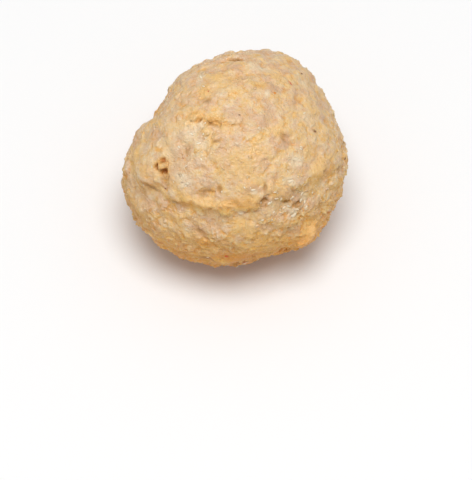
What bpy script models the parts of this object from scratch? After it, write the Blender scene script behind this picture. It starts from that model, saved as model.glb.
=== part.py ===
"""One beef and chicken meatball: a single closed solid of cooked mince.

The ball is an uneven ellipsoid. Broad swells and hollows give its outline, a ledge runs across
its front, and clumps of mince with creases between them cover it all over, coarser on the back
and underside than on the front, which was rolled smoother. It rests on the flat foot that a
ball of mince gets where it cooked on its tray.

Units are metres, +Z is up and the ball's front faces -Y. The origin is on the surface that the
ball rests on, under the middle of its bounding box.
"""

from math import asin, atan2, cos, degrees, exp, radians, sin, sqrt, tan

import bmesh
import bpy
from mathutils import Vector, noise

MM = 0.001

# The ball before its swells
HALF_WIDTH = 19.4 * MM
HALF_DEPTH = 18.6 * MM
HALF_HEIGHT = 18.0 * MM
FOOT_PLANE = -16.1 * MM  # height of the flat foot, from the ball's middle
FACES_PER_CUBE_EDGE = 31  # gives about 11,500 triangles, 0.9 mm each way

# Swells and hollows: where each one is (degrees round from +X, degrees above the horizon),
# how wide it is (degrees from its middle) and how far it stands out (mm)
SWELLS = {
    "crown": (60, 60, 36, 0.5),
    "brow": (58, 24, 20, 1.4),
    "back_top": (112, 30, 17, -1.8),
    "right_temple": (16, 10, 12, -0.3),
    "right_cheek": (-12, -4, 16, 1.0),
    "left_shoulder": (206, -4, 18, 0.8),
    "left_belly": (228, -19, 24, 1.5),
    "front_belly": (268, -26, 26, 1.1),
    "right_jowl": (-42, -19, 16, 1.6),
    "upper_left_hollow": (149, 15, 19, -4.5),
    "upper_left_slope": (164, 36, 14, -2.3),
    "upper_left_foot": (154, -6, 15, -2.2),
    "left_notch": (160, 16, 10, -1.1),
    "left_neck": (177, 8, 12, -0.9),
    "back_hollow": (70, -18, 22, -0.7),
    "back_left_swell": (128, -20, 22, 0.8),
    "mound": (211, 27, 9, 1.0),
    "under_mound": (220, 23, 5, -0.7),
    "hanging_flap": (309, -10, 6, 0.9),
    "notch": (300, -18, 5, -0.9),
    "torn_patch": (303, 20, 7, -0.6),
    "crown_dent": (88, 57, 5, -0.5),
    "front_dent": (252, 34, 4, -0.4),
    "left_dimple": (190, 42, 8, -0.4),
}

# The ledge across the front: degrees above the horizon at each of these degrees round, with
# the mince above the line standing out over the mince below it
LEDGE_ROUND = (205, 222, 240, 262, 283, 291, 303, 324, 341, 355)
LEDGE_ABOVE = (14, 22, 24, 26, 25, 32, 25, 26, 17, 11)
LEDGE_HEIGHT = 0.75 * MM
LEDGE_EDGE = 2.4  # degrees each side of the line over which it drops
LEDGE_REACH = 14.0  # degrees from the line at which it has died away
LEDGE_FADE = 20.0  # degrees round over which each end fades
LEDGE_WANDER = 4.0  # degrees that it wanders up and down
LEDGE_WANDER_SIZE = 3.0 * MM
LEDGE_UNEVENNESS = 0.9  # share of its height that comes and goes along it

# Clumps of mince and the creases between them, pulled out of their even cells by a warp
CLUMP_SIZE = 3.4 * MM
CLUMP_HEIGHT = 0.30 * MM
CREASE_DEPTH = 0.26 * MM
CREASE_WIDTH = 0.30  # share of a clump
WARP = 1.5 * MM
WARP_SIZE = 3.75 * MM
WARP_SEED = 1796019537

# Finer and broader unevenness: size, height and where in the noise it starts
GRAIN = (2.2 * MM, 0.34 * MM, Vector((0.0, 0.0, 0.0)))
ROUGH = (8.0 * MM, 0.40 * MM, Vector((7.0, 3.0, 5.0)))

SMOOTH_SIDE = (268, 52)  # the side that was rolled smoothest: degrees round, degrees above
ROUGHER_SHARE = 0.45  # how much higher the clumps are on the far side

MEAT_COLOUR = (0.66, 0.42, 0.20, 1.0)
MEAT_ROUGHNESS = 0.62


def direction(round_deg, above_deg):
    """The unit vector that many degrees round from +X and above the horizon."""
    turn, rise = radians(round_deg), radians(above_deg)
    return Vector((cos(turn) * cos(rise), sin(turn) * cos(rise), sin(rise)))


def smooth(low, high, value):
    """0 below low, 1 above high, and an even S between them."""
    share = min(max((value - low) / (high - low), 0.0), 1.0)
    return share * share * (3.0 - 2.0 * share)


def between(places, values, place):
    """The value at a place, read from straight lines through the given ones."""
    for start, end, low, high in zip(places, places[1:], values, values[1:]):
        if start <= place <= end:
            return low + (high - low) * (place - start) / (end - start)
    return values[0] if place < places[0] else values[-1]


def clear_scene():
    for obj in list(bpy.data.objects):
        bpy.data.objects.remove(obj, do_unlink=True)


def ellipsoid_radius(way):
    across, deep, high = way.x / HALF_WIDTH, way.y / HALF_DEPTH, way.z / HALF_HEIGHT
    return (across * across + deep * deep + high * high) ** -0.5


def swell_height(way):
    """All the swells and hollows together, seen along one direction from the middle."""
    total = 0.0
    for turn, rise, width, height in SWELLS.values():
        apart = way.angle(direction(turn, rise)) / radians(width)
        total += height * MM * exp(-apart * apart)
    return total


def ledge_height(way):
    """Out above the ledge's line and in below it, dying away from the line and at its ends."""
    turn = degrees(atan2(way.y, way.x)) % 360.0
    rise = degrees(asin(way.z))
    point = way * HALF_WIDTH
    wander = LEDGE_WANDER * noise.noise(point / LEDGE_WANDER_SIZE)
    over = rise - between(LEDGE_ROUND, LEDGE_ABOVE, turn) - wander
    first, last = LEDGE_ROUND[0], LEDGE_ROUND[-1]
    ends = smooth(first, first + LEDGE_FADE, turn) * smooth(last, last - LEDGE_FADE, turn)
    step = smooth(-LEDGE_EDGE, LEDGE_EDGE, over) - 0.5
    height = LEDGE_HEIGHT * (1.0 + LEDGE_UNEVENNESS * noise.noise(point / LEDGE_WANDER_SIZE / 2))
    return height * ends * step * exp(-((over / LEDGE_REACH) ** 2))


def clump_height(point):
    """Rounded clumps of mince, with a crease where two of them meet."""
    warped = point + WARP * noise.noise_vector(point / WARP_SIZE)
    (nearest, second, _, _), _ = noise.voronoi(warped / CLUMP_SIZE)
    crease = 1.0 - smooth(0.0, CREASE_WIDTH, second - nearest)
    return CLUMP_HEIGHT * (1.0 - sqrt(2.0) * nearest) - CREASE_DEPTH * crease


def unevenness(point, size, height, start):
    return height * noise.noise(point / size + start)


def surface_point(way):
    """The point of the ball's surface along one direction from its middle."""
    radius = ellipsoid_radius(way) + swell_height(way) + ledge_height(way)
    point = way * radius
    relief = clump_height(point) + unevenness(point, *GRAIN) + unevenness(point, *ROUGH)
    turned_away = (1.0 - way.dot(direction(*SMOOTH_SIDE))) / 2.0
    return way * (radius + relief * (1.0 + ROUGHER_SHARE * turned_away))


def rounded_cube_way(corner):
    """Spreads a point of a cube of half-width 1 evenly over the sphere."""
    return Vector([tan(radians(45) * value) for value in corner]).normalized()


def meat_material():
    material = bpy.data.materials.new("cooked_mince")
    material.use_nodes = True
    shader = material.node_tree.nodes["Principled BSDF"]
    shader.inputs["Base Color"].default_value = MEAT_COLOUR
    shader.inputs["Roughness"].default_value = MEAT_ROUGHNESS
    shader.inputs["Metallic"].default_value = 0.0
    return material


def rest_on_floor(mesh):
    """Flattens the foot, then puts the origin under the middle of the bounding box."""
    for vertex in mesh.vertices:
        vertex.co.z = max(vertex.co.z, FOOT_PLANE)
    low = [min(v.co[axis] for v in mesh.vertices) for axis in range(3)]
    high = [max(v.co[axis] for v in mesh.vertices) for axis in range(3)]
    under = Vector(((low[0] + high[0]) / 2, (low[1] + high[1]) / 2, low[2]))
    for vertex in mesh.vertices:
        vertex.co -= under


def make_meatball(collection):
    shell = bmesh.new()
    bmesh.ops.create_cube(shell, size=2.0)
    bmesh.ops.subdivide_edges(
        shell, edges=shell.edges[:], cuts=FACES_PER_CUBE_EDGE - 1, use_grid_fill=True
    )
    for vertex in shell.verts:
        vertex.co = surface_point(rounded_cube_way(vertex.co))
    bmesh.ops.recalc_face_normals(shell, faces=shell.faces)
    mesh = bpy.data.meshes.new("meatball")
    shell.to_mesh(mesh)
    shell.free()
    rest_on_floor(mesh)
    mesh.shade_smooth()
    mesh.materials.append(meat_material())
    meatball = bpy.data.objects.new("meatball", mesh)
    collection.objects.link(meatball)
    return meatball


def main():
    clear_scene()
    noise.seed_set(WARP_SEED)
    collection = bpy.data.collections.new("beef_and_chicken_meatball")
    bpy.context.scene.collection.children.link(collection)
    make_meatball(collection)


main()
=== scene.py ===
"""Looks of one beef and chicken meatball.

The skin of the ball is a fine closed grid laid over its solid. The features that the ball has in
one place only, such as the ledge, the mound with its holes and the torn patch, are pushed into
the grid by listed marks. A Geometry Nodes tree then raises clumps, flakes, granules and
grain all over it. Each point keeps how far it stands out and which way it looks, and the colour
follows both as painted light and shade: pale on top of the lumps and on slopes facing the light,
brown between them and on slopes turned from it. Brown and dark patches are painted shade in the
crevices and holes, and the ball is painted darker towards its foot and on its sides. Granules,
flakes, fat and specks of spice lie on the skin as small closed pieces; the pale fat stands in
partly for small glints, a painted highlight.

Units are metres in the frame's own axes: +Z up, and the ball's front faces -Y.
"""

from math import cos, pi, radians, sin

import bmesh
import bpy
import numpy as np
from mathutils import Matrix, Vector, noise
from mathutils.bvhtree import BVHTree


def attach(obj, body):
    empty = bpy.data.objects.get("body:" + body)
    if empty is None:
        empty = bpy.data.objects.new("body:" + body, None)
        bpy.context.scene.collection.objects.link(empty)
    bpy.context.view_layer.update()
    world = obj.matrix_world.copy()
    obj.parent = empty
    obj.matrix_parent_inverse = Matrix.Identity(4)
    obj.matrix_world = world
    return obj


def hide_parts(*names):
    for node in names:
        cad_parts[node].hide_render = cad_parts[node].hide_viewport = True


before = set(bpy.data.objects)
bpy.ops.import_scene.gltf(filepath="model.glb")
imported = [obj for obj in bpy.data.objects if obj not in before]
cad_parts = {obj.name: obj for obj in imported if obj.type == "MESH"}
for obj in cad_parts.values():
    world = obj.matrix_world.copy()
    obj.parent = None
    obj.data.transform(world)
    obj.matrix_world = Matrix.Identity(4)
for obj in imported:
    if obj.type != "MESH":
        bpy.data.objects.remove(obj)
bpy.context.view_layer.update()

MM = 0.001
PER_CM2 = 1e4  # in a square metre

# The photograph's frame, and where its camera stood
PHOTO_SIZE = (472, 480)
CAMERA_ABOVE = radians(58)
CAMERA_DISTANCE = 550 * MM
PIXELS_PER_MM = 5.66
BALL_PIXEL = (235, 156)  # where the ball's middle is seen
SENSOR_WIDTH = 36.0
FOCAL_PIXELS = PIXELS_PER_MM / MM * CAMERA_DISTANCE

BALL_MIDDLE = Vector((0, 0, 16.3 * MM))
RIGHT = Vector((1, 0, 0))
UP = Vector((0, sin(CAMERA_ABOVE), cos(CAMERA_ABOVE)))
TOWARD = Vector((0, -cos(CAMERA_ABOVE), sin(CAMERA_ABOVE)))

# The skin's grid
SKIN_FACES_PER_EDGE = 126  # 12 times its square gives the triangles, under 200,000
SKIN_DENSER_IN_FRONT = 0.16

# Lumps and pits that the ball has in one place: pixel in the photograph, length, width (mm),
# turn of the length from level (degrees) and height (mm), negative for a pit
SPOTS = {
    "mound_top": ((146, 170), 6.5, 4.6, -10, 0.45),
    "nub": ((162.2, 166.5), 1.7, 1.2, 75, 0.75),
    "hole_above_nub": ((161.7, 160.2), 1.5, 0.7, 0, -0.7),
    "hole_beside_nub": ((156.6, 166), 1.0, 0.7, 80, -0.8),
    "hole_below_nub": ((163.8, 171.2), 1.1, 0.9, 50, -1.0),
    "gap_right_of_nub": ((166.5, 165), 1.5, 0.6, 80, -0.55),
    "hollow_by_mound": ((165.5, 179), 2.0, 1.2, 70, -0.45),
    "mound_edge": ((158.5, 179.5), 1.8, 1.3, 40, 0.4),
    "mound_lump_1": ((144, 178), 2.0, 1.4, -20, 0.3),
    "mound_lump_2": ((152, 182), 1.6, 1.2, 10, 0.3),
    "mound_lump_3": ((150, 170), 1.6, 1.4, 40, 0.25),
    "mound_lump_4": ((139, 170), 1.5, 1.2, -60, 0.22),
    "mound_lump_5": ((156, 173), 1.1, 0.9, 60, 0.25),
    "dimple": ((206, 193), 3.0, 1.8, 10, -0.4),
    "dimple_floor": ((205.5, 195.5), 1.3, 0.9, 10, 0.25),
    "dimple_rim": ((198, 190), 1.2, 0.9, 60, 0.25),
    "top_crevice": ((236, 58.6), 2.2, 0.8, -8, -0.9),
    "groove": ((208, 121.5), 3.6, 1.2, -8, -0.6),
    "groove_left": ((198.5, 119), 1.3, 0.8, 50, -0.5),
    "groove_nub": ((200.3, 121.8), 1.1, 0.8, 60, 0.45),
    "blister": ((216.4, 137), 2.0, 1.4, 10, 0.5),
    "torn_left": ((264.5, 200.5), 1.1, 0.8, 25, -0.5),
    "torn_middle": ((286.6, 201.5), 1.2, 0.8, 10, -0.45),
    "torn_right": ((297.5, 204), 1.5, 0.8, 15, -0.4),
    "torn_upper": ((277, 194), 1.6, 0.9, -20, -0.4),
    "yellow_lump": ((270.3, 187.5), 2.5, 1.4, 78, 0.5),
    "ledge_crumb": ((262, 194.5), 1.3, 1.0, 10, 0.4),
    "ledge_lump_1": ((177, 199.5), 1.7, 1.2, -20, 0.3),
    "ledge_lump_2": ((187, 201), 1.4, 1.1, 30, 0.3),
    "ledge_lump_3": ((195.5, 203.5), 1.5, 1.1, -30, 0.35),
    "ledge_lump_4": ((205, 206), 1.7, 1.2, 0, 0.35),
    "ledge_lump_5": ((215, 205), 1.3, 1.0, 20, 0.3),
    "ledge_lump_6": ((224, 206), 1.6, 1.2, -10, 0.35),
    "ledge_lump_7": ((234, 208), 1.5, 1.1, -20, 0.35),
    "ledge_lump_8": ((244, 208.5), 1.8, 1.2, 10, 0.35),
    "ledge_lump_9": ((254, 203.5), 1.5, 1.2, 50, 0.3),
    "ledge_start_1": ((172, 191), 2.2, 1.4, 60, 0.25),
    "ledge_start_2": ((181.5, 198.5), 1.8, 1.3, 75, 0.25),
    "under_ledge_1": ((199, 213.5), 2.4, 1.3, 75, 0.28),
    "under_ledge_2": ((225, 214.5), 2.0, 1.5, 65, 0.26),
    "under_ledge_3": ((246, 215), 2.2, 1.2, 110, 0.24),
    "ledge_notch_1": ((191.5, 206), 1.0, 0.7, 70, -0.25),
    "ledge_notch_2": ((210, 209), 1.0, 0.7, 90, -0.3),
    "ledge_notch_3": ((229, 210), 1.1, 0.7, 80, -0.3),
    "ledge_notch_4": ((250, 210.5), 1.2, 0.8, 60, -0.3),
    "right_patch": ((320, 168), 4.6, 3.2, 35, 0.4),
    "flap_upper": ((312, 230), 2.4, 1.7, 70, 0.95),
    "flap_gap": ((303, 229), 1.8, 0.8, 65, -0.35),
    "flap_lower": ((303, 241.5), 3.4, 1.4, 35, 0.65),
    "flap_notch": ((289, 249.5), 1.5, 1.1, 60, -0.8),
    "bottom_bump": ((226, 261), 2.6, 1.8, 0, 0.45),
    "belly_hollow": ((199, 232), 3.4, 1.8, -30, -0.35),
    "left_crack": ((148.5, 118.5), 3.0, 0.7, 40, -0.35),
    "side_groove": ((285, 137), 3.6, 1.2, -25, -0.3),
    "crown_spot": ((205, 91), 2.2, 1.5, -60, 0.25),
    "brown_dent": ((187, 150), 2.4, 1.6, 60, -0.3),
    "front_dent": ((219, 190), 1.4, 0.9, 60, -0.3),
    "small_bump": ((218, 158), 1.6, 1.4, 0, 0.22),
    "left_bump": ((129, 163), 2.0, 1.4, 80, 0.35),
}

# Lips where the mince above stands out over the mince below: pixels in the photograph from left
# to right, how far it stands out, how deep it is below and how far it hangs over (mm)
LIPS = {
    "ledge": (
        (
            (172, 199), (183, 203), (191, 200), (197, 206), (210, 208.5), (222, 207.5),
            (238, 210.5), (252, 210.5), (259, 205),
        ),
        0.12, 0.08, 0.06,
    ),
    "ledge_right": (((282, 193), (297, 187), (309, 181), (324, 175), (337, 167)), 0.05, 0.05, 0.02),
    "mound": (((140, 184), (150, 186), (158, 185), (165, 178)), 0.10, 0.06, 0.06),
    "groove": (((193, 118), (201, 114.5), (212, 119), (222, 122.5), (230, 122)), 0.16, 0.20, 0.12),
    "blister": (((211, 139), (215, 141), (219, 141), (222, 138)), 0.08, 0.10, 0.06),
    "fold": (((250, 143.5), (262, 147), (277, 147.5)), 0.07, 0.08, 0.05),
    "crown": (((222, 60), (232, 56.5), (242, 56.5)), 0.12, 0.10, 0.06),
    "flap": (((287, 249), (297, 248), (308, 242), (317, 235)), 0.25, 0.25, 0.15),
}
LIP_WIDTH = 0.3 * MM
LIP_REACH_ABOVE = 1.9 * MM
LIP_REACH_BELOW = 1.3 * MM
LIP_WANDER = 1.2 * MM
LIP_WANDER_SIZE = 1.5 * MM
WANDER_SEED = 1

# Colours of the meat's patches; the brown patches and the hole patches are painted shade
TINTS = {
    "olive": (0.57, 0.375, 0.175),
    "lilac": (0.60, 0.37, 0.225),
    "golden": (0.78, 0.49, 0.19),
    "orange": (0.69, 0.37, 0.11),
    "cream": (0.76, 0.61, 0.42),
    "brown_shade": (0.44, 0.235, 0.08),
    "hole_shade": (0.33, 0.11, 0.018),
}

TINT_STRENGTH = {
    "olive": 0.45, "lilac": 0.75, "golden": 0.9, "orange": 0.9, "cream": 0.7, "brown_shade": 1, "hole_shade": 1,
}

# Colours of the kinds of bits in the mince, from the greyest to the most golden
MINCE_KINDS = {
    0.05: (0.63, 0.41, 0.25, 1),
    0.28: (0.70, 0.465, 0.28, 1),
    0.50: (0.74, 0.52, 0.285, 1),
    0.72: (0.77, 0.505, 0.215, 1),
    0.95: (0.76, 0.46, 0.17, 1),
}

# Painted shade: the mince's colour is multiplied by these in its hollows and where it turns from the
# light, towards the foot and on the sides
HOLLOW_SHADE_COLOUR = (0.98, 0.76, 0.37, 1)
FOOT_SHADE_COLOUR = (0.925, 0.64, 0.23, 1)
SIDE_SHADE_COLOUR = (1.0, 0.905, 0.57, 1)

# Colours of the painted light on the tops of lumps and on slopes facing the light, of the bits on the
# skin, whose pale fat stands partly for small glints as a painted highlight, and of the floor
LUMP_LIGHT_COLOUR = (0.78, 0.64, 0.455, 1)
DULL_FAT = (0.75, 0.555, 0.33, 1)
PALE_FAT_AND_GLINT = (0.86, 0.74, 0.55, 1)
PEPPER = (0.20, 0.055, 0.015, 1)
CHILLI = (0.62, 0.10, 0.025, 1)
PAPRIKA = (0.74, 0.27, 0.035, 1)
FLOOR_COLOUR = (0.9, 0.9, 0.9, 1)

# Sizes of the patterns in the meat's colour, sheen and roughness, and how high its grain stands
BLEND_SIZE = 4.0 * MM
TINT_SIZE = 3.0 * MM
BIT_SIZE = 1.5 * MM
FINE_SIZE = 0.7 * MM
GRANULE_SIZE = 0.5 * MM
BEAD_SIZE = 0.42 * MM
TINY_SIZE = 0.25 * MM
MOIST_SIZE = 5.0 * MM
ROUGH_SIZE = 4.5 * MM
GRAIN_RISE = 0.14 * MM

# Heights below which the relief and the grain are at their roughest, and above which they are
# at their smoothest
ROUGH_UNDER = 16 * MM
SMOOTH_OVER = 27 * MM

# How deep light goes into the meat and into the crumbs that lie on it
MEAT_GLOW = 0.34 * MM
CRUMB_GLOW = 0.12 * MM

# Where the ball has a tint: pixel in the photograph, length, width (mm), turn (degrees), strength
PATCHES = {
    "olive": [
        (175, 85, 3, 8, -25, 0.7), (160, 115, 3.5, 7, -30, 0.6), (148, 135, 3, 4, -30, 0.5),
        (182, 100, 5, 8, -30, 0.6), (128, 190, 3, 6, 20, 0.7), (140, 215, 5, 5, 0, 0.7),
        (165, 228, 6, 4, -20, 0.6),
        (185, 242, 7, 3, -20, 0.7), (332, 192, 3, 7, -15, 0.7), (318, 210, 5, 4, 40, 0.6),
        (322, 110, 3, 7, 25, 0.6), (311, 84, 2.6, 6, 35, 0.7), (290, 232, 6, 3, 20, 0.5),
        (215, 214, 8, 2.6, 0, 0.6), (255, 216, 6, 2.4, 5, 0.6), (310, 190, 5, 3, 30, 0.6),
        (225, 250, 8, 3, 0, 0.6), (161, 233, 1.4, 1.0, 0, 0.9), (270, 247, 4, 2.4, 20, 0.7),
    ],
    "lilac": [
        (272, 87, 2.6, 2.4, 0, 1.0), (272, 65, 2.2, 1.4, 0, 0.9), (199, 232, 2.8, 2.2, 0, 1.0),
        (225, 243, 3.0, 1.5, 0, 0.9), (240, 116, 5.0, 3.2, 0, 0.6), (262, 121, 5.0, 3.0, 0, 0.5),
        (285, 139, 2.0, 2.6, 10, 1.0), (178, 150, 3.4, 6.0, 0, 0.5), (147, 200, 3.0, 2.0, 0, 0.7),
        (253, 190, 2.6, 2.0, 0, 0.9), (283, 198, 5.0, 2.6, 10, 0.8), (313, 79, 1.8, 2.2, 30, 0.8),
        (213, 226, 4.0, 2.0, 0, 0.7), (195, 220, 3.4, 2.0, 20, 0.6), (230, 66, 4.0, 1.6, 5, 0.7),
        (172, 172, 3.0, 4.4, 0, 0.6), (224, 152, 1.8, 4.0, 0, 0.5), (297, 200, 3.0, 2.4, 20, 0.7),
        (208, 82, 2.4, 2.4, 0, 0.5), (250, 95, 3.0, 2.0, 0, 0.4), (265, 203, 3.4, 1.6, 10, 0.8),
    ],
    "golden": [
        (217, 76, 3.0, 1.9, 0, 0.9), (233, 80, 3.2, 2.6, 20, 0.7), (275, 73, 2.4, 2.8, 0, 0.9),
        (204, 92, 2.2, 2.8, 0, 0.9), (259, 85, 2.4, 1.7, 0, 1.0), (196, 114, 3.4, 1.8, 15, 0.9),
        (212, 118, 4.0, 1.7, -15, 1.0), (225, 128, 3.0, 2.0, -20, 0.7), (205, 128, 2.4, 2.0, 0, 0.6),
        (245, 165, 7.0, 6.0, 0, 0.6), (262, 152, 5.4, 2.4, -10, 0.6), (279, 131, 2.6, 2.6, 0, 0.8),
        (320, 167, 3.6, 3.0, 35, 1.0), (310, 154, 4.4, 2.4, 10, 0.6), (150, 168, 4.6, 3.4, 0, 0.5),
        (185, 198, 4.6, 1.8, -20, 0.8), (205, 203, 5.0, 2.0, -10, 0.9), (226, 205, 4.0, 1.8, 0, 0.9),
        (252, 201, 3.6, 2.8, 10, 0.9), (270, 188, 1.4, 2.8, -10, 0.7), (250, 231, 3.0, 5.0, 35, 0.7),
        (262, 241, 3.8, 2.4, 0, 0.7), (244, 222, 2.6, 2.0, 0, 0.6), (135, 207, 0.9, 2.2, 15, 0.9),
        (215, 90, 3.6, 1.8, 0, 0.5), (330, 158, 2.6, 2.0, 0, 0.7), (212, 137, 3.2, 2.0, 0, 0.6),
        (218, 158, 2.0, 2.0, 0, 0.6), (268, 134, 2.0, 2.0, 0, 0.4), (196, 236, 2.6, 1.4, 0, 0.5),
        (162, 167, 1.6, 2.0, 0, 1.0), (311, 229, 3.2, 3.6, 0, 0.9), (144, 172, 3.4, 2.4, -20, 0.6),
    ],
    "orange": [
        (206, 90, 1.0, 2.0, 20, 0.7), (214, 119, 2.6, 1.0, -15, 0.9), (195, 113, 1.8, 0.9, 10, 0.7),
        (259, 86, 1.6, 1.0, 0, 0.8), (182, 203, 3.2, 1.4, -15, 1.0), (240, 203, 5.0, 1.8, 0, 0.9),
        (226, 207, 4.0, 1.0, 0, 0.7), (205, 243, 3.4, 2.0, -10, 0.9), (240, 258, 6.0, 1.8, -5, 1.0),
        (222, 256, 3.0, 1.8, 0, 0.9), (314, 232, 1.8, 3.2, -15, 0.6), (302, 242, 3.4, 1.4, 35, 0.75),
        (295, 248, 2.6, 1.2, 20, 1.0), (330, 171, 3.0, 1.8, 30, 0.9), (256, 204, 2.8, 1.6, 10, 0.7),
        (150, 184, 3.4, 1.2, -5, 0.8), (226, 124, 1.8, 0.8, -10, 0.7), (322, 174, 3.0, 0.9, 20, 0.6),
        (205, 207, 4.0, 0.7, -8, 0.6), (183, 216, 4.0, 1.4, 0, 0.4), (172, 213, 4.0, 2.4, 0, 0.4),
        (162, 160.4, 1.9, 1.2, 0, 1.0), (157, 166, 1.2, 1.3, 0, 1.0), (164.5, 171.5, 1.7, 1.4, 30, 1.1),
        (158, 182, 2.2, 1.0, 10, 0.7), (213, 190, 1.0, 0.7, 0, 0.7), (219, 189, 0.8, 1.2, 30, 0.6),
    ],
    "cream": [
        (201, 77, 1.3, 2.2, -25, 1.0), (191, 134, 2.2, 1.6, 20, 0.9), (200, 144, 2.8, 1.6, 0, 0.9),
        (186, 141, 3.0, 3.0, 0, 0.5), (183, 178, 3.6, 1.8, -15, 0.9), (187, 184, 2.4, 1.2, 0, 0.9),
        (151, 197, 1.8, 1.0, 20, 0.8), (296, 160, 3.2, 2.4, 0, 0.8), (303, 199, 1.2, 2.4, -20, 1.0),
        (290, 182, 3.4, 1.8, 25, 0.8), (293, 215, 2.2, 1.8, 20, 0.8), (255, 192, 1.6, 1.0, 0, 0.8),
        (261, 68, 5.0, 1.5, -5, 0.8), (196, 64, 2.8, 1.1, 20, 1.0), (268, 93, 0.8, 1.8, 0, 0.9),
        (168, 150, 3.0, 5.0, 0, 0.5), (180, 131, 5.0, 3.0, -10, 0.6), (302, 82, 1.8, 1.6, 0, 0.9),
        (221, 92, 3.0, 1.8, 0, 0.6), (307, 118, 3.0, 2.0, 0, 0.7), (200, 125, 2.0, 1.6, 40, 0.8),
        (150, 158, 3.0, 1.6, 0, 0.5), (140, 173, 2.4, 1.4, -30, 0.6), (240, 145, 3.0, 1.4, 0, 0.5),
        (196, 181, 3.0, 2.0, 0, 0.5), (272, 206, 1.4, 0.9, 40, 0.8), (187, 161, 1.4, 1.0, 0, 0.6),
        (165, 226, 1.0, 0.7, 0, 0.9), (281, 200, 1.0, 1.6, 0, 0.7), (199, 160, 3.0, 3.0, 0, 0.4),
    ],
    # Painted shade: brown in crevices, pits, the torn patch's hollows and under the mound and the ledge
    "brown_shade": [
        (236, 58.6, 2.0, 1.0, -8, 1.0), (207, 100, 2.0, 1.2, -40, 0.7), (151, 186.5, 3.4, 0.9, -5, 1.0),
        (165, 180, 1.6, 2.0, 0, 0.6), (205, 193.5, 2.2, 1.2, 20, 0.7), (219, 190, 0.8, 1.8, 30, 0.7),
        (263.5, 201, 1.8, 1.2, 20, 0.9), (286, 201, 1.4, 1.1, 0, 0.9), (298, 204.5, 2.4, 1.0, 15, 1.0),
        (187, 150, 1.8, 0.9, 60, 0.6), (284, 138, 1.0, 1.8, 10, 0.6), (315, 131, 1.2, 0.8, 0, 0.7),
        (265, 188, 0.6, 2.2, 0, 0.7), (211, 123, 2.8, 0.7, -20, 0.8), (200, 119, 1.0, 0.6, 40, 0.9),
        (250, 262, 6.0, 0.9, -5, 0.9), (206, 258, 4.0, 1.0, -15, 0.7), (324, 171, 1.6, 0.7, 20, 0.6),
        (199, 231, 1.2, 1.0, 0, 0.6), (174, 201, 1.6, 1.2, 0, 0.6), (339, 168, 1.2, 1.4, 0, 0.8),
        (216, 141.5, 1.6, 0.4, 0, 0.8), (143, 190, 2.6, 1.0, -40, 0.5), (289, 249.5, 1.2, 0.9, 0, 0.9),
    ],
    # Painted shade: dark red-brown deep in the holes by the nub and in two crevices
    "hole_shade": [
        (161.7, 160.4, 1.1, 0.6, 0, 1.0), (156.8, 166, 0.6, 0.8, 0, 1.0),
        (164, 171.2, 1.0, 0.8, 30, 1.1), (164.8, 161.5, 0.5, 0.5, 0, 0.8),
        (235.5, 58.5, 0.8, 0.4, -8, 0.6), (200, 118.5, 0.5, 0.3, 40, 0.6),
    ],
}
PATCH_SPREAD = 1.25

# Where the surface is torn into loose flakes, in the same way
PATCHES["torn"] = [
    (285, 201, 8, 3.6, 15, 1.0), (299, 160, 4, 4, 0, 0.6), (196, 140, 5, 6, 0, 0.8),
    (185, 182, 5, 3, -15, 0.8), (266, 202, 4, 2.2, 10, 0.8), (201, 78, 2, 4, -20, 0.7),
    (292, 183, 6, 3, 25, 0.8), (203, 124, 3, 2, 30, 0.7), (294, 214, 3, 2.4, 20, 0.7),
    (165, 152, 4, 6, 0, 0.3), (196, 64, 3, 1.4, 20, 0.6), (150, 197, 3, 2, 0, 0.5),
]

# How far around a point its own height is measured, in steps over the grid, and where light falls
NEAR_STEPS = 20
WIDE_STEPS = 110
LIT_FROM = Vector((0, -0.15, 1)).normalized()

# Sizes and heights of the relief that is raised all over the skin (mm)
RELIEF = {
    "Clump Size": 1.6, "Clump Height": 0.15, "Crease Depth": 0.10, "Flake Size": 2.6,
    "Flake Height": 0.04, "Small Flake Size": 1.5, "Small Flake Height": 0.04,
    "Granule Size": 0.8, "Granule Height": 0.46, "Grain Size": 0.6, "Grain Height": 0.34,
    "Warp": 0.7, "Warp Size": 2.8,
}

# Shares of a clump's or granule's size
CLUMP_RIM = 0.45
CREASE_WIDTH = 0.16
GRANULE_RIM = 0.62

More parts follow.
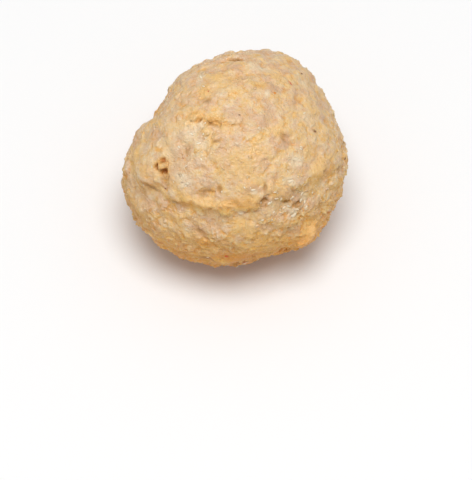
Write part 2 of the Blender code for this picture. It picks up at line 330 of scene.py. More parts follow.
# Small bits that lie on the ball: pixel in the photograph, length, width, thickness (mm), turn
# (degrees) and tone
# Pale flakes: some lie loose where the mince is torn, and some are pale bits put where the meat shows
# small glints, a painted highlight
PALE_FLAKES_AND_GLINTS = [
    ((301, 199), 1.3, 0.5, 0.22, 60, 0.6), ((291, 181), 1.1, 0.5, 0.2, 20, 0.2),
    ((293.5, 215), 1.2, 0.6, 0.2, 10, 0.3), ((269.8, 202.8), 1.0, 0.4, 0.2, 30, 0.6),
    ((253, 189.8), 0.8, 0.4, 0.15, 0, 0.4), ((295.8, 159), 1.3, 0.6, 0.2, 15, 0.0),
    ((199, 64), 1.6, 0.4, 0.2, 20, 0.5), ((201, 77), 0.9, 0.4, 0.2, -60, 0.9),
    ((203.4, 86.3), 0.5, 0.3, 0.12, -30, 1.0), ((174.3, 106.6), 0.5, 0.2, 0.1, 40, 0.8),
    ((162, 113), 0.5, 0.2, 0.1, 60, 0.8), ((198.8, 143.3), 0.8, 0.3, 0.15, 10, 0.8),
    ((192, 134), 0.7, 0.35, 0.15, -20, 0.8), ((203.4, 134), 0.5, 0.3, 0.12, 60, 0.6),
    ((304.2, 113), 0.6, 0.3, 0.1, 30, 0.4), ((281, 199), 1.0, 0.35, 0.2, 75, 0.4),
    ((288.5, 206), 0.9, 0.35, 0.2, -15, 0.7), ((306, 207), 0.8, 0.3, 0.2, 40, 0.3),
    ((275, 192), 0.7, 0.35, 0.15, 15, 0.5), ((186, 166), 0.5, 0.2, 0.1, 20, 0.8),
    ((179, 147), 0.6, 0.25, 0.1, -50, 0.7), ((187, 183.5), 0.9, 0.4, 0.15, -10, 0.2),
    ((261, 69), 0.9, 0.35, 0.12, -10, 0.0), ((205.4, 122.8), 0.5, 0.3, 0.15, 50, 0.6),
    ((284, 207.5), 0.9, 0.4, 0.2, 35, 0.1), ((302, 193), 1.0, 0.4, 0.2, 50, 0.2),
    ((276.5, 198.5), 0.8, 0.4, 0.2, -20, 0.0), ((292, 197.5), 0.9, 0.4, 0.2, 30, 0.3),
    ((304.5, 201.5), 0.9, 0.35, 0.2, 70, 0.4), ((297, 209), 0.8, 0.4, 0.2, -25, 0.0),
]
SPICES = [
    ((290.2, 83.2), 1.5, 0.22, 0.12, -57, 0.55), ((226.4, 256.4), 0.9, 0.45, 0.15, -50, 0.62),
    ((208.4, 91.3), 0.4, 0.25, 0.1, 40, 0.5), ((183, 157.7), 0.5, 0.2, 0.1, -45, 0.35),
    ((274.8, 93), 0.55, 0.45, 0.15, 0, 0.95), ((301.5, 73.7), 0.5, 0.3, 0.1, 20, 0.0),
    ((344.8, 158.8), 0.5, 0.35, 0.1, 60, 0.1), ((239.6, 115), 0.35, 0.25, 0.1, 0, 0.2),
    ((315, 131.5), 0.5, 0.35, 0.1, 30, 0.0),
    ((240.5, 126), 0.3, 0.2, 0.1, 0, 0.9), ((165.7, 188.5), 0.35, 0.2, 0.1, 10, 0.3),
]
BIT_RISE = 0.04
BIT_DENT = 0.25
BIT_DENT_SIZE = 0.3 * MM

# Bits strewn over the skin: how many to the square centimetre, evenly and where it is torn, and
# their sizes, how deep they are sunk and their dents (mm)
STREWN = {
    "mince_granules": {
        "Evenly": 0.5, "Seed": 3, "Smallest": (0.25, 0.20, 0.10), "Largest": (0.65, 0.50, 0.24),
        "Tilt": 0.2, "Sunk": 0.08, "Dents": 0.10, "Dent Size": 0.45,
    },
    "mince_flakes": {
        "Evenly": 0.5, "Seed": 5, "Smallest": (0.25, 0.15, 0.04), "Largest": (0.70, 0.35, 0.10),
        "Tilt": 0.4, "Sunk": 0.0, "Dents": 0.14, "Dent Size": 0.6, "In Patches": 55,
    },
    # Pale fat specks, partly painted glints: their pale colour stands in for small highlights
    "fat_specks_and_glints": {
        "Evenly": 1, "Seed": 8, "Smallest": (0.12, 0.08, 0.04), "Largest": (0.34, 0.18, 0.07),
        "Tilt": 0.3, "Sunk": 0.03, "Dents": 0.10, "Dent Size": 0.25, "In Patches": 30,
    },
}
STREWN_UNITS = {
    "Evenly": PER_CM2, "In Patches": PER_CM2, "Smallest": MM, "Largest": MM, "Sunk": MM,
    "Dents": MM, "Dent Size": MM,
}

# What is added to a seed to draw each bit's turn, size and tone
TURN_SALT = 11
SIZE_SALT = 23
TONE_SALT = 37

# The sides that the photograph doesn't show get features of the same kinds, in random places,
# where the way from the ball's middle points this little towards the camera and isn't too steep
HIDDEN = 0.15
LOWEST_WAY = -0.85
HIDDEN_SEED = 7

# Their numbers, their lengths (mm), widths and heights as shares of the length, and how far each
# step of a lip goes (mm) and how it bends
HIDDEN_SPOTS = 70
HIDDEN_FLAKES = 24
HIDDEN_SPICES = 12
HIDDEN_LENGTHS = (1.0, 4.0)
HIDDEN_WIDTHS = (0.4, 0.9)
HIDDEN_HEIGHTS = (-0.2, 0.16)
HIDDEN_LIPS = 10
LIP_STEPS = (1.2, 2.4)
LIP_BEND = 0.6
FAINTEST_LIP = (0.08, 0.10, 0.05)
BOLDEST_LIP = (0.22, 0.22, 0.14)

# A broad light overhead, and a white tent all round
LIGHT_PLACE = Vector((0.012, -0.12, 0.82))
LIGHT_SIZE = 0.5
LIGHT_POWER = 5.05
TENT_STRENGTH = 0.43


class Recipe:
    """Adds nodes to a tree and links them, so that each call is one step of the recipe."""

    def __init__(self, tree):
        self.tree = tree

    def add(self, kind, inputs=None, **settings):
        node = self.tree.nodes.new(kind)
        for name, value in settings.items():
            setattr(node, name, value)
        return self.fill(node, inputs or {})

    def fill(self, node, inputs):
        for name, value in inputs.items():
            self.feed(node.inputs[name], value)
        return node

    def feed(self, socket, value):
        if isinstance(value, bpy.types.NodeSocket):
            self.tree.links.new(value, socket)
        else:
            socket.default_value = value

    def math(self, operation, *values):
        return self.add("ShaderNodeMath", dict(enumerate(values)), operation=operation).outputs[0]

    def product(self, value, *others):
        for other in others:
            value = self.math("MULTIPLY", value, other)
        return value

    def total(self, value, *parts):
        """The value, and each part times its weight."""
        for part, weight in parts:
            value = self.math("MULTIPLY_ADD", part, weight, value)
        return value

    def vector(self, operation, *values):
        node = self.add("ShaderNodeVectorMath", operation=operation)
        for place, value in enumerate(values):
            socket = node.inputs["Scale"] if operation == "SCALE" and place else node.inputs[place]
            self.feed(socket, value)
        return node.outputs[0]

    def axes(self, vector):
        return self.add("ShaderNodeSeparateXYZ", {0: vector}).outputs

    def ramp(self, value, low, high, to_low=0.0, to_high=1.0):
        """An even S from to_low, at low, to to_high, at high."""
        inputs = {0: value, 1: low, 2: high, 3: to_low, 4: to_high}
        return self.add("ShaderNodeMapRange", inputs, interpolation_type="SMOOTHSTEP").outputs[0]

    def blend(self, amount, low, high, blend_type="MIX"):
        inputs = {0: amount, 6: low, 7: high}
        settings = {"data_type": "RGBA", "blend_type": blend_type, "clamp_factor": True}
        return self.add("ShaderNodeMix", inputs, **settings).outputs[2]

    def colours(self, value, stops):
        """The colour of the stops around a value."""
        ramp = self.add("ShaderNodeValToRGB", {0: value})
        elements = ramp.color_ramp.elements
        elements.remove(elements[1])
        for place, (position, colour) in enumerate(stops.items()):
            stop = elements.new(position) if place else elements[0]
            stop.position = position
            stop.color = colour
        return ramp.outputs["Color"]

    def noise(self, where, scale, detail=2.0, roughness=0.5, distortion=0.0, output="Fac"):
        inputs = {
            "Vector": where, "Scale": scale, "Detail": detail,
            "Roughness": roughness, "Distortion": distortion,
        }
        return self.add("ShaderNodeTexNoise", inputs).outputs[output]

    def waves(self, *where):
        """Noise about zero."""
        return self.math("SUBTRACT", self.noise(*where), 0.5)

    def stray(self, where, scale, far, detail):
        """Vectors of noise about zero, each part of them up to about as long as far."""
        way = self.noise(where, scale, detail, output="Color")
        way = self.vector("SCALE", self.vector("SUBTRACT", way, (0.5, 0.5, 0.5)), far)
        return self.vector("SCALE", way, 2.0)

    def cells(self, where, scale, feature, **inputs):
        inputs = {"Vector": where, "Scale": scale, **inputs}
        return self.add("ShaderNodeTexVoronoi", inputs, feature=feature).outputs

    def kept(self, name):
        """What the piece keeps on its points under a name."""
        return self.add("ShaderNodeAttribute", attribute_name=name).outputs["Fac"]


def new_group(name, kind, inputs, outputs):
    """A node group with named sockets: each input is (name, type, default)."""
    tree = bpy.data.node_groups.new(name, kind)
    for label, socket_type, default in inputs:
        socket = tree.interface.new_socket(label, in_out="INPUT", socket_type=socket_type)
        if default is not None:
            socket.default_value = default
    for label, socket_type in outputs:
        tree.interface.new_socket(label, in_out="OUTPUT", socket_type=socket_type)
    recipe = Recipe(tree)
    return recipe, recipe.add("NodeGroupInput"), recipe.add("NodeGroupOutput")


def run_tree(obj, tree, **values):
    """Runs a Geometry Nodes tree on an object and leaves its result as a plain mesh."""
    modifier = obj.modifiers.new(tree.name, "NODES")
    modifier.node_group = tree
    for item in tree.interface.items_tree:
        if item.in_out == "INPUT" and item.name in values:
            modifier[item.identifier] = values[item.name]
    graph = bpy.context.evaluated_depsgraph_get()
    mesh = bpy.data.meshes.new_from_object(obj.evaluated_get(graph), depsgraph=graph)
    obj.modifiers.remove(modifier)
    return mesh


def new_object(name, mesh):
    obj = bpy.data.objects.new(name, mesh)
    bpy.context.scene.collection.objects.link(obj)
    return obj


def smoothstep(low, high, value):
    share = np.clip((value - low) / (high - low), 0.0, 1.0)
    return share * share * (3.0 - 2.0 * share)


def camera_place():
    """The camera looks past the ball, so that the ball lands where the photograph shows it."""
    aside = (BALL_PIXEL[0] - PHOTO_SIZE[0] / 2) / FOCAL_PIXELS * CAMERA_DISTANCE
    above = (PHOTO_SIZE[1] / 2 - BALL_PIXEL[1]) / FOCAL_PIXELS * CAMERA_DISTANCE
    return BALL_MIDDLE - RIGHT * aside - UP * above + TOWARD * CAMERA_DISTANCE


def smooth_solid(node):
    """A smoothed copy of the CAD solid's surface, for rays to find."""
    mesh = node.data.copy()
    shell = bmesh.new()
    shell.from_mesh(mesh)
    bmesh.ops.remove_doubles(shell, verts=shell.verts, dist=1e-6)
    shell.to_mesh(mesh)
    shell.free()
    copy = new_object("solid_copy", mesh)
    rounded = copy.modifiers.new("rounded", "SUBSURF")
    rounded.levels = rounded.render_levels = 2
    surface = BVHTree.FromObject(copy, bpy.context.evaluated_depsgraph_get())
    bpy.data.objects.remove(copy)
    return surface


def grid_ways():
    """A cube's grid spread over the sphere, drawn a little towards the side that is looked at."""
    shell = bmesh.new()
    bmesh.ops.create_cube(shell, size=2.0)
    bmesh.ops.subdivide_edges(
        shell, edges=shell.edges[:], cuts=SKIN_FACES_PER_EDGE - 1, use_grid_fill=True
    )
    for vertex in shell.verts:
        way = Vector(np.tan(np.array(vertex.co) * pi / 4)).normalized()
        vertex.co = (way + TOWARD * SKIN_DENSER_IN_FRONT).normalized()
    bmesh.ops.recalc_face_normals(shell, faces=shell.faces)
    return shell


def skin_grid(solid):
    """The grid laid on the solid's surface, by rays from the ball's middle."""
    shell = grid_ways()
    for vertex in shell.verts:
        vertex.co = solid.ray_cast(BALL_MIDDLE, vertex.co)[0]
    mesh = bpy.data.meshes.new("skin")
    shell.to_mesh(mesh)
    shell.free()
    mesh.shade_smooth()
    return new_object("skin", mesh)


class Marks:
    """Places things on the ball by the pixel of the photograph that shows them."""

    def __init__(self, solid):
        self.solid = solid
        self.camera = camera_place()

    def under(self, pixel):
        """The point of the surface under a pixel, and the surface's direction there."""
        right = (pixel[0] - PHOTO_SIZE[0] / 2) / FOCAL_PIXELS
        up = (PHOTO_SIZE[1] / 2 - pixel[1]) / FOCAL_PIXELS
        ray = (RIGHT * right + UP * up - TOWARD).normalized()
        point, normal = self.solid.ray_cast(self.camera, ray)[:2]
        if point is None:
            beside = self.camera + ray * ray.dot(BALL_MIDDLE - self.camera)
            point, normal = self.solid.find_nearest(beside)[:2]
        return point, normal

    def beyond(self, chance):
        """A random point of the surface that the photograph doesn't show."""
        while True:
            way = Vector(chance.normal(size=3)).normalized()
            if way.dot(TOWARD) < HIDDEN and way.z > LOWEST_WAY:
                return self.solid.ray_cast(BALL_MIDDLE, way)[:2]


def blob(points, centre, normal, length, width, turn):
    """How much each point belongs to an oval on the surface: 1 in its middle, 0 outside it."""
    level = (RIGHT - normal * RIGHT.dot(normal)).normalized()
    above = normal.cross(level)
    along = level * cos(radians(turn)) + above * sin(radians(turn))
    across = normal.cross(along)
    offset = points - np.array(centre)
    u = offset @ np.array(along) / (length * MM / 2)
    v = offset @ np.array(across) / (width * MM / 2)
    w = offset @ np.array(normal) / (max(length, width) * MM)
    return np.exp(-(u * u + v * v) ** 1.5 - w * w)


def push_spots(points, marks):
    """How far each point moves along its normal for the lumps and pits."""
    push = np.zeros(len(points))
    for pixel, length, width, turn, height in SPOTS.values():
        push += height * MM * blob(points, *marks.under(pixel), length, width, turn)
    chance = np.random.default_rng(HIDDEN_SEED)
    for _ in range(HIDDEN_SPOTS):
        length = chance.uniform(*HIDDEN_LENGTHS)
        width = length * chance.uniform(*HIDDEN_WIDTHS)
        height = chance.uniform(*HIDDEN_HEIGHTS) * length
        turn = chance.uniform(0, 180)
        push += height * MM * blob(points, *marks.beyond(chance), length, width, turn)
    return push


def keep(mesh, name, values):
    """Keeps a value on each point of a mesh, for its material or a later step to read."""
    kept = mesh.attributes.new(name, "FLOAT", "POINT")
    kept.data.foreach_set("value", np.asarray(values, np.float32))


def paint_patches(skin, marks):
    """Keeps, on each point of the skin, how much of each tint it has."""
    points = mesh_array(skin.data, "co")
    chance = np.random.default_rng(HIDDEN_SEED)
    for name, patches in PATCHES.items():
        ovals = [(*marks.under((x, y)), *shape) for x, y, *shape in patches]
        for _ in patches:
            _, _, length, width, _, strength = patches[chance.integers(len(patches))]
            turn = chance.uniform(0, 180)
            ovals.append((*marks.beyond(chance), length, width, turn, strength))
        share = np.zeros(len(points))
        for place, normal, length, width, turn, strength in ovals:
            oval = blob(points, place, normal, length * PATCH_SPREAD, width * PATCH_SPREAD, turn)
            share = np.maximum(share, strength * oval)
        keep(skin.data, name, share)


def lip_paths(marks):
    """The lips' ways over the surface, the listed ones and the random ones."""
    for pixels, out, deep, over in LIPS.values():
        yield [marks.under(pixel) for pixel in pixels], (out, deep, over)
    chance = np.random.default_rng(HIDDEN_SEED + 1)
    for _ in range(HIDDEN_LIPS):
        place, normal = marks.beyond(chance)
        heading = normal.cross(Vector(chance.normal(size=3))).normalized()
        path = [(place, normal)]
        for _ in range(chance.integers(2, 6)):
            bend = chance.uniform(-LIP_BEND, LIP_BEND)
            heading = (heading + normal.cross(heading) * bend).normalized()
            way = place + heading * chance.uniform(*LIP_STEPS) * MM - BALL_MIDDLE
            place, normal = marks.solid.ray_cast(BALL_MIDDLE, way.normalized())[:2]
            path.append((place, normal))
        yield path, chance.uniform(FAINTEST_LIP, BOLDEST_LIP)


def push_lips(points, normals, marks):
    """How far each point moves for the lips, along its normal and down over what is below."""
    wander = np.array([noise.noise_vector(Vector(p) / LIP_WANDER_SIZE) for p in points])
    wandered = points + wander * LIP_WANDER
    move = np.zeros_like(points)
    for path, (out, deep, over) in lip_paths(marks):
        nearest = np.full(len(points), 1e9)
        side = np.zeros(len(points))
        above = np.zeros_like(points)
        for (start, normal), (end, _) in zip(path, path[1:]):
            step = np.array(end - start)
            offset = wandered - np.array(start)
            share = np.clip(offset @ step / (step @ step), 0.0, 1.0)
            offset = offset - share[:, None] * step
            distance = np.linalg.norm(offset, axis=1)
            up = np.cross(np.array(normal), step / np.linalg.norm(step))
            closer = distance < nearest
            nearest[closer] = distance[closer]
            side[closer] = np.sign(offset[closer] @ up)
            above[closer] = up
        signed = nearest * side
        upper = smoothstep(-LIP_WIDTH, LIP_WIDTH, signed)
        rise = upper * out * np.exp(-((nearest / LIP_REACH_ABOVE) ** 2))
        fall = (1 - upper) * deep * np.exp(-((nearest / LIP_REACH_BELOW) ** 2))
        hang = upper * over * np.exp(-((nearest / (LIP_REACH_BELOW / 2)) ** 2))
        move += normals * ((rise - fall) * MM)[:, None] - above * (hang * MM)[:, None]
    return move


def mesh_array(mesh, what):
    values = np.zeros(len(mesh.vertices) * 3, np.float32)
    mesh.vertices.foreach_get(what, values)
    return values.reshape(-1, 3).astype(float)


def push_marks(skin, marks):
    points = mesh_array(skin.data, "co")
    normals = mesh_array(skin.data, "normal")
    spots = push_spots(points, marks)
    moved = points + push_lips(points, normals, marks) + normals * spots[:, None]
    skin.data.vertices.foreach_set("co", moved.ravel())
    skin.data.update()


def relief_tree():
    """Clumps, overlapping flakes, granules and grain, raised along the skin's normals."""
    inputs = [("Geometry", "NodeSocketGeometry", None)]
    inputs += [(name, "NodeSocketFloat", size * MM) for name, size in RELIEF.items()]
    tree, given, result = new_group(
        "meat_relief", "GeometryNodeTree", inputs, [("Geometry", "NodeSocketGeometry")]
    )
    given = given.outputs
    place = tree.add("GeometryNodeInputPosition").outputs[0]

    def per(label):
        return tree.math("DIVIDE", 1.0, given[label])

    warped = tree.vector("ADD", place, tree.stray(place, per("Warp Size"), given["Warp"], 1.0))

    clumps = tree.cells(warped, per("Clump Size"), "SMOOTH_F1", Smoothness=0.7)
    kind = tree.axes(clumps["Color"])[0]
    clump = tree.math("SUBTRACT", CLUMP_RIM, clumps["Distance"])
    clump = tree.product(tree.total(clump, (kind, 0.3)), given["Clump Height"], 2.0)

    edge = tree.cells(warped, per("Clump Size"), "DISTANCE_TO_EDGE")["Distance"]
    crease = tree.ramp(edge, 0.0, CREASE_WIDTH, 1.0, 0.0)
    patchy = tree.ramp(tree.noise(place, per("Flake Size"), detail=1.0), 0.42, 0.62)
    crease = tree.product(crease, patchy, given["Crease Depth"])

    rough = tree.ramp(tree.noise(place, 1 / ROUGH_SIZE, detail=1.0), 0.35, 0.62, 0.5, 1.0)
    rough = tree.product(rough, tree.ramp(tree.axes(place)[2], ROUGH_UNDER, SMOOTH_OVER, 1.05, 0.42))

    def flakes(label, steps, drop):
        """Overlapping flakes: each rises slowly and ends in a short drop."""
        level = tree.noise(place, per(label + " Size"), detail=1.0, roughness=0.4)
        part = tree.math("FRACT", tree.product(level, steps))
        part = tree.math("SUBTRACT", part, tree.ramp(part, 1.0 - drop, 1.0))
        return tree.product(part, given[label + " Height"], rough)

    granule = tree.cells(place, per("Granule Size"), "SMOOTH_F1", Smoothness=0.4)["Distance"]
    granule = tree.ramp(granule, 0.0, GRANULE_RIM, 1.0, 0.0)
    patchy = tree.ramp(tree.noise(place, per("Clump Size"), detail=1.0), 0.38, 0.62, 0.25, 1.0)
    granule = tree.product(granule, patchy, rough, given["Granule Height"])
    grain = tree.waves(place, per("Grain Size"), 0.0)
    grain = tree.product(grain, rough, 2.0, given["Grain Height"])

    height = tree.total(
        clump, (flakes("Flake", 4.0, 0.35), 1.0), (flakes("Small Flake", 3.0, 0.3), 1.0),
        (crease, -1.0), (granule, 1.0), (grain, 1.0), (given["Clump Height"], -0.9),
    )
    normal = tree.add("GeometryNodeInputNormal").outputs[0]
    moved = tree.axes(tree.vector("ADD", place, tree.vector("SCALE", normal, height)))
    grounded = {0: moved[0], 1: moved[1], 2: tree.math("MAXIMUM", moved[2], 0.0)}
    grounded = tree.add("ShaderNodeCombineXYZ", grounded).outputs[0]

    shape = {"Geometry": given["Geometry"], "Name": "kind", "Value": kind}
    shape = tree.add("GeometryNodeStoreNamedAttribute", shape, data_type="FLOAT", domain="POINT")
    shape = {"Geometry": shape.outputs[0], "Position": grounded}
    tree.feed(result.inputs[0], tree.add("GeometryNodeSetPosition", shape).outputs[0])
    return tree.tree


def smoothed(values, edges, steps):
    """Values on a mesh's points, averaged in each step with those of the points beside."""
    count = np.bincount(edges.ravel(), minlength=len(values))
    for _ in range(steps):
        total = np.bincount(edges[:, 0], values[edges[:, 1]], len(values))
        total += np.bincount(edges[:, 1], values[edges[:, 0]], len(values))
        values = (values + total / count) / 2
    return values


def keep_form(skin, points, normals):
    """Keeps, on each point, how far it stands out of what is around it and how much it looks up."""
    mesh = skin.data
    edges = np.zeros(len(mesh.edges) * 2, np.int32)
    mesh.edges.foreach_get("vertices", edges)
    edges = edges.reshape(-1, 2)
    height = np.sum((mesh_array(mesh, "co") - points) * normals, axis=1) / MM
    near = smoothed(height, edges, NEAR_STEPS)
    wide = smoothed(near, edges, WIDE_STEPS)
    facing = (mesh_array(mesh, "normal") - normals) @ np.array(LIT_FROM)
    form = {"near": height - near, "wide": near - wide, "facing": facing, "level": normals[:, 2]}
    for name, values in form.items():
        keep(mesh, name, values)


def make_skin(solid, marks):
    skin = skin_grid(solid)
    points = mesh_array(skin.data, "co")
    normals = mesh_array(skin.data, "normal")
    paint_patches(skin, marks)
    push_marks(skin, marks)
    skin.data = run_tree(skin, relief_tree())
    skin.data.shade_smooth()
    keep_form(skin, points, normals)
    return skin


def mottle_group():
    """Colour of cooked mince: bits of several kinds, with painted shade in hollows and painted light on
    lump tops, and patches.
    """
    inputs = [
        ("Place", "NodeSocketVector", None),
        ("Near", "NodeSocketFloat", 0.0),
        ("Wide", "NodeSocketFloat", 0.0),
        ("Facing", "NodeSocketFloat", 0.0),
        ("Kind", "NodeSocketFloat", 0.5),
        ("Tone", "NodeSocketFloat", 0.0),
    ]
    inputs += [(name.capitalize(), "NodeSocketFloat", 0.0) for name in TINTS]
    outputs = [("Colour", "NodeSocketColor"), ("Grain", "NodeSocketFloat")]
    nodes, given, result = new_group("mince_mottle", "ShaderNodeTree", inputs, outputs)
    given = given.outputs
    place = given["Place"]

    def beside(*offset):
        """The place moved aside, so that a pattern there is unlike the others."""
        return nodes.vector("ADD", place, offset)

    coarse = nodes.waves(place, 1 / BLEND_SIZE, 3.0, 0.8)
    bits = nodes.waves(beside(0.1, 0.7, 0.4), 1 / BIT_SIZE, 2.0, 0.6, 0.6)
    fine = nodes.waves(beside(0.5, 0.2, 0.9), 1 / FINE_SIZE, 1.0, 0.7)
    granule = nodes.cells(place, 1 / GRANULE_SIZE, "SMOOTH_F1", Smoothness=1.0)["Distance"]
    bead = nodes.waves(place, 1 / BEAD_SIZE, 0.0)
    tiny = nodes.waves(place, 1 / TINY_SIZE, 0.0)

    high = nodes.axes(place)[2]
    grain = nodes.total(0.08, (tiny, 1.2), (bead, 0.9), (granule, -0.8), (fine, 1.0))
    grain = nodes.product(grain, nodes.ramp(high, ROUGH_UNDER, SMOOTH_OVER, 1.1, 0.75))

    kind = nodes.math("SUBTRACT", given["Kind"], 0.5)
    kind = nodes.total(0.48, (kind, 0.55), (coarse, 1.2), (fine, 0.5), (given["Tone"], 0.15))
    colour = nodes.colours(kind, MINCE_KINDS)

    # How lit each place is painted: standing out or facing the light counts as lit, hollows and slopes
    # turned away as shaded, with random bits and grain mixed in
    form = nodes.total(0.0, (given["Near"], 3.0), (given["Wide"], 1.0), (given["Facing"], 0.5))
    form = nodes.product(form, nodes.ramp(high, ROUGH_UNDER, SMOOTH_OVER, 1.0, 0.85))
    form = nodes.total(form, (grain, 0.75), (bits, 2.4))
    # Painted shade: hollows and slopes turned from the light get a darker, browner colour
    colour = nodes.blend(nodes.ramp(form, 0.0, -1.1), colour, HOLLOW_SHADE_COLOUR, "MULTIPLY")
    # Painted light: lump tops and slopes facing the light get a paler colour
    colour = nodes.blend(nodes.ramp(form, 0.0, 1.0, 0.0, 0.9), colour, LUMP_LIGHT_COLOUR)

    # The tints include the brown and hole patches, which are painted shade
    for step, (name, tint) in enumerate(TINTS.items()):
        share = given[name.capitalize()]
        if name != "hole_shade":
            patchy = nodes.noise(beside(0.3 * step, 0.1 * step, 0.7), 1 / TINT_SIZE, 2.0, 0.6)
            share = nodes.math("ADD", share, nodes.ramp(patchy, 0.52, 0.72, 0.0, 0.12))
        share = nodes.total(share, (nodes.product(fine, 1.2), share))
        share = nodes.ramp(share, 0.1, 1.0, 0.0, TINT_STRENGTH[name])
        colour = nodes.blend(share, colour, tint + (1,))
    nodes.fill(result, {"Colour": colour, "Grain": grain})
    return nodes.tree


def new_material(name):
    """A material, the recipe that adds to it, and its shader."""
    material = bpy.data.materials.new(name)
    material.use_nodes = True
    return material, Recipe(material.node_tree), material.node_tree.nodes["Principled BSDF"]


def mince_colour(nodes, mottle, place):
    """The mottle's colour at each place of a piece, with painted shade towards the foot and on the
    sides.
    """
    inputs = {name.capitalize(): nodes.kept(name) for name in TINTS}
    for name in ("near", "wide", "facing", "kind", "tone"):
        inputs[name.capitalize()] = nodes.kept(name)
    group = nodes.add("ShaderNodeGroup", {"Place": place, **inputs}, node_tree=mottle)
    # Painted shade: the colour gets darker and browner towards the foot
    low = nodes.ramp(nodes.axes(place)[2], 2 * MM, 22 * MM, 1.0, 0.0)
    colour = nodes.blend(low, group.outputs["Colour"], FOOT_SHADE_COLOUR, "MULTIPLY")
    # Painted shade: where the surface turns sideways and down, the colour gets darker and yellower
    side = nodes.ramp(nodes.kept("level"), 0.55, -0.1)
    return nodes.blend(side, colour, SIDE_SHADE_COLOUR, "MULTIPLY"), group.outputs["Grain"]


def meat_material(name, mottle, glow):
    material, nodes, shader = new_material(name)
    shader.subsurface_method = "BURLEY"
    place = nodes.add("ShaderNodeTexCoord").outputs["Object"]
    colour, grain = mince_colour(nodes, mottle, place)
    moist = nodes.noise(place, 1 / MOIST_SIZE, 2.0, 0.6)
    bump = nodes.add("ShaderNodeBump", {"Strength": 1.0, "Distance": GRAIN_RISE, "Height": grain})
    nodes.fill(shader, {
        "Base Color": colour, "Roughness": nodes.ramp(moist, 0.35, 0.6, 0.48, 0.28),
        "Specular IOR Level": 0.42, "Subsurface Weight": 1.0, "Subsurface Scale": glow,
        "Subsurface Radius": (1.0, 0.7, 0.45), "Normal": bump.outputs[0],
    })
    return material


def fat_and_glint_material():
    material, nodes, shader = new_material("fat_and_painted_glints")
    # The pale end stands partly for small glints, a painted highlight
    colour = nodes.blend(nodes.ramp(nodes.kept("tone"), -1.0, 1.0), DULL_FAT, PALE_FAT_AND_GLINT)
    nodes.fill(shader, {"Base Color": colour, "Roughness": 0.45})
    return material


def spice_material():
    material, nodes, shader = new_material("spice")
    tone = nodes.kept("tone")
    colour = nodes.blend(nodes.ramp(tone, 0.2, 0.5), PEPPER, CHILLI)
    colour = nodes.blend(nodes.ramp(tone, 0.6, 0.9), colour, PAPRIKA)
    nodes.fill(shader, {"Base Color": colour, "Roughness": 0.45})
    return material


def place_bits(name, skin, marks, bits, hidden, finish):
    """One piece of the bits that the photograph shows, and of like ones where it can't look."""
    on_skin = Marks(BVHTree.FromObject(skin, bpy.context.evaluated_depsgraph_get()))
    chance = np.random.default_rng(HIDDEN_SEED)
    places = [(on_skin.under(bit[0])[0], marks.under(bit[0])[1], bit) for bit in bits]
    for _ in range(hidden):
        places.append((*on_skin.beyond(chance), bits[chance.integers(len(bits))]))
    shell = bmesh.new()
    tones = []
    for place, normal, (_, length, width, thickness, turn, tone) in places:
        level = (RIGHT - normal * RIGHT.dot(normal)).normalized()
        along = level * cos(radians(turn)) + normal.cross(level) * sin(radians(turn))
        across = normal.cross(along)
        bit = bmesh.ops.create_icosphere(shell, subdivisions=2, radius=0.5)["verts"]
        for vertex in bit:
            x, y, z = vertex.co
            spread = along * x * length + across * y * width + normal * z * thickness
            dent = noise.noise_vector((place + spread * MM) / BIT_DENT_SIZE) * width * BIT_DENT
            vertex.co = place + (spread + dent + normal * BIT_RISE) * MM
        tones += [tone] * len(bit)
    mesh = bpy.data.meshes.new(name)
    shell.to_mesh(mesh)
    shell.free()
    mesh.shade_smooth()
    keep(mesh, "tone", tones)
    mesh.materials.append(finish)
    piece = new_object(name, mesh)
    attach(piece, "root")


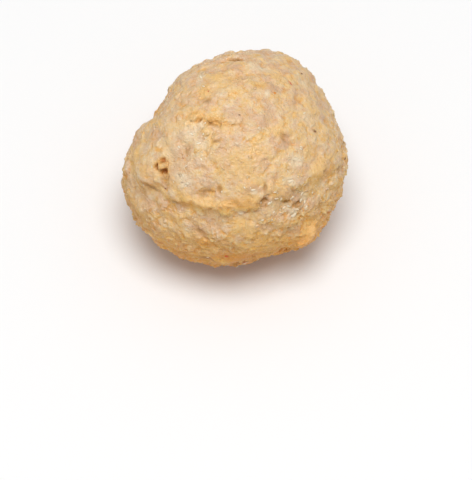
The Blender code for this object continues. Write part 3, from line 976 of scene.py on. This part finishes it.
def scatter_tree():
    """Small closed pieces strewn over a skin, more of them where one of its patches is."""
    inputs = [
        ("Geometry", "NodeSocketGeometry", None),
        ("Evenly", "NodeSocketFloat", 0.0),
        ("In Patches", "NodeSocketFloat", 0.0),
        ("Patch", "NodeSocketString", "torn"),
        ("Seed", "NodeSocketInt", 1),
        ("Smallest", "NodeSocketVector", None),
        ("Largest", "NodeSocketVector", None),
        ("Tilt", "NodeSocketFloat", 0.2),
        ("Sunk", "NodeSocketFloat", 0.0),
        ("Dents", "NodeSocketFloat", 0.1 * MM),
        ("Dent Size", "NodeSocketFloat", 0.5 * MM),
        ("Lowest", "NodeSocketFloat", 1.6 * MM),
        ("Finish", "NodeSocketMaterial", None),
    ]
    tree, given, result = new_group(
        "strewn_pieces", "GeometryNodeTree", inputs, [("Geometry", "NodeSocketGeometry")]
    )
    given = given.outputs
    place = tree.add("GeometryNodeInputPosition").outputs[0]
    above = tree.math("GREATER_THAN", tree.axes(place)[2], given["Lowest"])
    patch = {"Name": given["Patch"]}
    patch = tree.add("GeometryNodeInputNamedAttribute", patch, data_type="FLOAT").outputs[0]
    density = tree.product(tree.total(given["Evenly"], (patch, given["In Patches"])), above)
    strewn = {"Mesh": given["Geometry"], "Density": density, "Seed": given["Seed"]}
    strewn = tree.add("GeometryNodeDistributePointsOnFaces", strewn, distribute_method="RANDOM")

    block = {"Size": (2, 2, 2), "Vertices X": 3, "Vertices Y": 3, "Vertices Z": 3}
    block = tree.add("GeometryNodeMeshCube", block).outputs["Mesh"]
    rounded = {"Geometry": block, "Position": tree.vector("NORMALIZE", place)}
    rounded = tree.add("GeometryNodeSetPosition", rounded).outputs[0]

    def random(kind, low, high, salt):
        node = tree.add("FunctionNodeRandomValue", data_type=kind)
        ends = [socket for socket in node.inputs if socket.enabled][:2]
        tree.feed(ends[0], low)
        tree.feed(ends[1], high)
        tree.feed(node.inputs["Seed"], tree.math("ADD", given["Seed"], salt))
        return [socket for socket in node.outputs if socket.enabled][0]

    def combined(x, y, z):
        return tree.add("ShaderNodeCombineXYZ", {0: x, 1: y, 2: z}).outputs[0]

    tilt = given["Tilt"]
    down = tree.product(tilt, -1.0)
    turn = random("FLOAT_VECTOR", combined(down, down, 0.0), combined(tilt, tilt, 2 * pi), TURN_SALT)
    turn = tree.add("FunctionNodeEulerToRotation", {0: turn}).outputs[0]
    turn = {"Rotation": strewn.outputs["Rotation"], "Rotate By": turn}
    turn = tree.add("FunctionNodeRotateRotation", turn, rotation_space="LOCAL").outputs["Rotation"]
    size = random("FLOAT_VECTOR", given["Smallest"], given["Largest"], SIZE_SALT)
    laid = {
        "Points": strewn.outputs["Points"], "Instance": rounded, "Rotation": turn, "Scale": size,
    }
    laid = tree.add("GeometryNodeInstanceOnPoints", laid).outputs[0]
    depth = combined(0.0, 0.0, tree.product(given["Sunk"], -1.0))
    sunk = {"Instances": laid, "Translation": depth, "Local Space": True}
    sunk = tree.add("GeometryNodeTranslateInstances", sunk).outputs[0]
    toned = {"Name": "tone", "Geometry": sunk, "Value": random("FLOAT", -1.0, 1.0, TONE_SALT)}
    toned = tree.add("GeometryNodeStoreNamedAttribute", toned, data_type="FLOAT", domain="INSTANCE")
    real = tree.add("GeometryNodeRealizeInstances", {0: toned.outputs[0]}).outputs[0]

    per_dent = tree.math("DIVIDE", 1.0, given["Dent Size"])
    dented = {"Geometry": real, "Offset": tree.stray(place, per_dent, given["Dents"], 2.0)}
    dented = tree.add("GeometryNodeSetPosition", dented).outputs[0]
    smooth = tree.add("GeometryNodeSetShadeSmooth", {"Geometry": dented}).outputs[0]
    finished = {"Geometry": smooth, "Material": given["Finish"]}
    tree.feed(result.inputs[0], tree.add("GeometryNodeSetMaterial", finished).outputs[0])
    return tree.tree


def strew(name, skin, tree, finish):
    """One piece with all the strewn bits of a kind."""
    values = {"Finish": finish}
    for key, value in STREWN[name].items():
        value = Vector(value) if isinstance(value, tuple) else value
        values[key] = value * STREWN_UNITS.get(key, 1)
    bits = new_object(name, skin.data.copy())
    bits.data = run_tree(bits, tree, **values)
    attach(bits, "root")


def make_floor():
    bpy.ops.mesh.primitive_plane_add(size=6.0)
    floor = bpy.context.object
    floor.name = "floor"
    material, nodes, shader = new_material("pale_floor")
    nodes.fill(shader, {"Base Color": FLOOR_COLOUR, "Roughness": 0.8})
    floor.data.materials.append(material)
    return floor


def make_camera():
    data = bpy.data.cameras.new("camera")
    data.sensor_width = SENSOR_WIDTH
    data.lens = FOCAL_PIXELS * SENSOR_WIDTH / max(PHOTO_SIZE)
    data.clip_end = 20.0
    camera = new_object("camera", data)
    camera.location = camera_place()
    camera.rotation_euler = (pi / 2 - CAMERA_ABOVE, 0, 0)
    bpy.context.scene.camera = camera


def make_light():
    data = bpy.data.lights.new("overhead", "AREA")
    data.shape = "DISK"
    data.size = LIGHT_SIZE
    data.energy = LIGHT_POWER
    light = new_object("overhead", data)
    light.location = LIGHT_PLACE
    light.rotation_euler = (BALL_MIDDLE - LIGHT_PLACE).to_track_quat("-Z", "Y").to_euler()
    world = bpy.data.worlds.new("tent")
    world.use_nodes = True
    back = world.node_tree.nodes["Background"]
    back.inputs["Color"].default_value = (1, 1, 1, 1)
    back.inputs["Strength"].default_value = TENT_STRENGTH
    bpy.context.scene.world = world
    bpy.context.scene.view_settings.view_transform = "Standard"


solid = smooth_solid(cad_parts["meatball"])
noise.seed_set(WANDER_SEED)
marks = Marks(solid)
skin = make_skin(solid, marks)
mottle = mottle_group()
skin.data.materials.clear()
skin.data.materials.append(meat_material("cooked_mince", mottle, MEAT_GLOW))
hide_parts("meatball")
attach(skin, "root")

crumb = meat_material("mince_crumb", mottle, CRUMB_GLOW)
fat_and_glints = fat_and_glint_material()
strewn = scatter_tree()
strew("mince_granules", skin, strewn, crumb)
strew("mince_flakes", skin, strewn, crumb)
strew("fat_specks_and_glints", skin, strewn, fat_and_glints)
place_bits("pale_flakes_and_glints", skin, marks, PALE_FLAKES_AND_GLINTS, HIDDEN_FLAKES, fat_and_glints)
place_bits("spice_specks", skin, marks, SPICES, HIDDEN_SPICES, spice_material())

floor = make_floor()
make_light()
make_camera()
